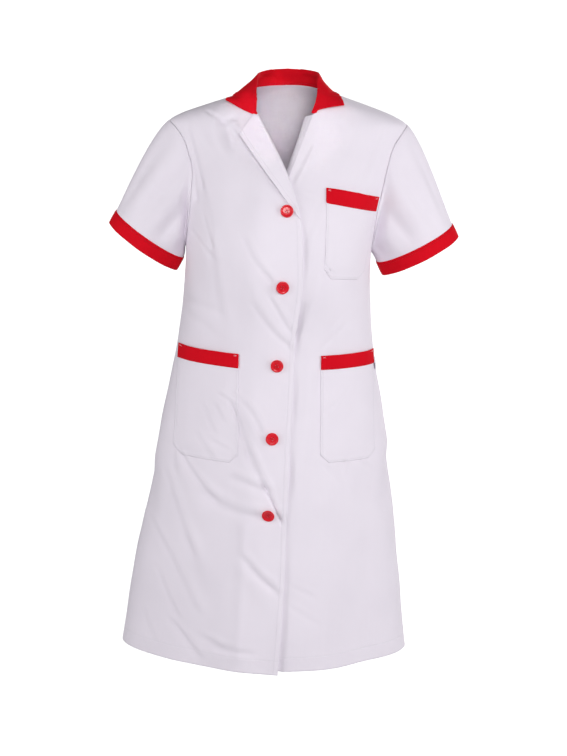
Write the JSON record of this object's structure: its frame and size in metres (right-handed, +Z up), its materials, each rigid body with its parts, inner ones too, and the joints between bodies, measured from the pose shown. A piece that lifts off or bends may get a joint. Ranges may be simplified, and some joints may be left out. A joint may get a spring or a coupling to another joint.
{
  "type": "work tunic",
  "caption": "Knee-length short-sleeved work tunic that buttons down the front, with a folded collar, breast and hip patch pockets and contrasting bands; worn hollow form.",
  "frame": {"origin": "between the wearer's shoulders, level with the sides of the neck seam", "axes": "+Z up, -Y the way the front faces, +X towards the wearer's left"},
  "size_m": [0.5769, 0.3223, 0.9749],
  "materials": {
    "white_cloth": "matt polyester-cotton poplin",
    "red_cloth": "matt polyester-cotton poplin",
    "red_button": "glossy polyester resin"
  },
  "bodies": {
    "root": {"back": "white_cloth", "front_right": "white_cloth", "front_left": "white_cloth", "lapel_right": "white_cloth", "facing_left": "white_cloth", "sleeve_right": "white_cloth", "sleeve_left": "white_cloth", "pocket_hip_right": "white_cloth", "pocket_hip_left": "white_cloth", "pocket_breast": "white_cloth", "side_tab": "white_cloth", "collar": "red_cloth", "cuff_right": "red_cloth", "cuff_left": "red_cloth", "band_hip_right": "red_cloth", "band_hip_left": "red_cloth", "band_breast": "red_cloth", "button_1": "red_button", "button_2": "red_button", "button_3": "red_button", "button_4": "red_button", "button_5": "red_button"}
  },
  "joints": []
}
